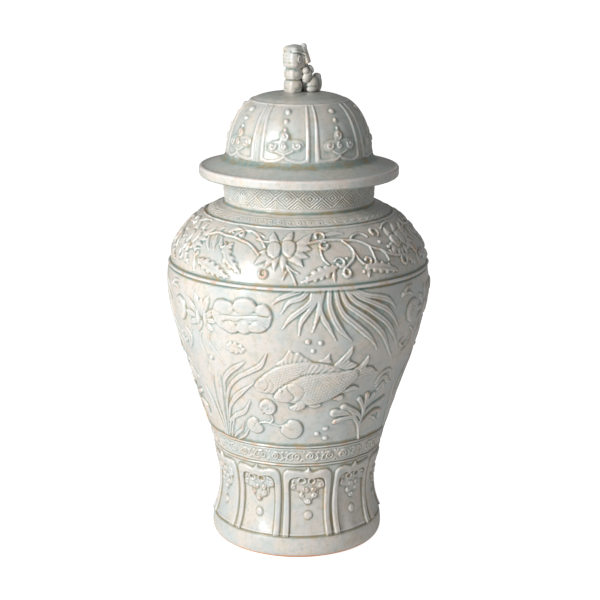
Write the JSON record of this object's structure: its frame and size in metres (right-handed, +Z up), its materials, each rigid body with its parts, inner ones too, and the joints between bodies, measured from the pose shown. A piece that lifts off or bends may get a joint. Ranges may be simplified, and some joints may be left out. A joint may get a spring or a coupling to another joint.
{
  "type": "lidded temple jar",
  "caption": "Lidded baluster temple jar in carved celadon stoneware, with a lotus pond relief, a domed hat-brim lid that lifts off and a seated lion finial.",
  "frame": {"origin": "centre of the foot, on the table", "axes": "+Z up along the jar's axis, the front of the jar facing -Y"},
  "size_m": [0.3178, 0.3178, 0.6105],
  "materials": {
    "celadon_glaze": "glossy, finely crackled grey-green celadon glaze over buff stoneware, pooling blue-green in the hollows",
    "bare_stoneware": "unglazed stoneware, flashed warm orange in the kiln"
  },
  "bodies": {
    "jar": {"foot_and_base": "celadon_glaze", "lower_wall": "celadon_glaze", "shoulder_wall": "celadon_glaze", "neck_collar": "celadon_glaze"},
    "lid": {"lid_dome_and_brim": "celadon_glaze", "lid_flange": "bare_stoneware", "lion_finial": "celadon_glaze"}
  },
  "joints": [
    {"name": "lid_lift", "type": "slide", "parent": "jar", "child": "lid", "axis": [0, 0, 1], "range_m": [0, 0.22]}
  ]
}
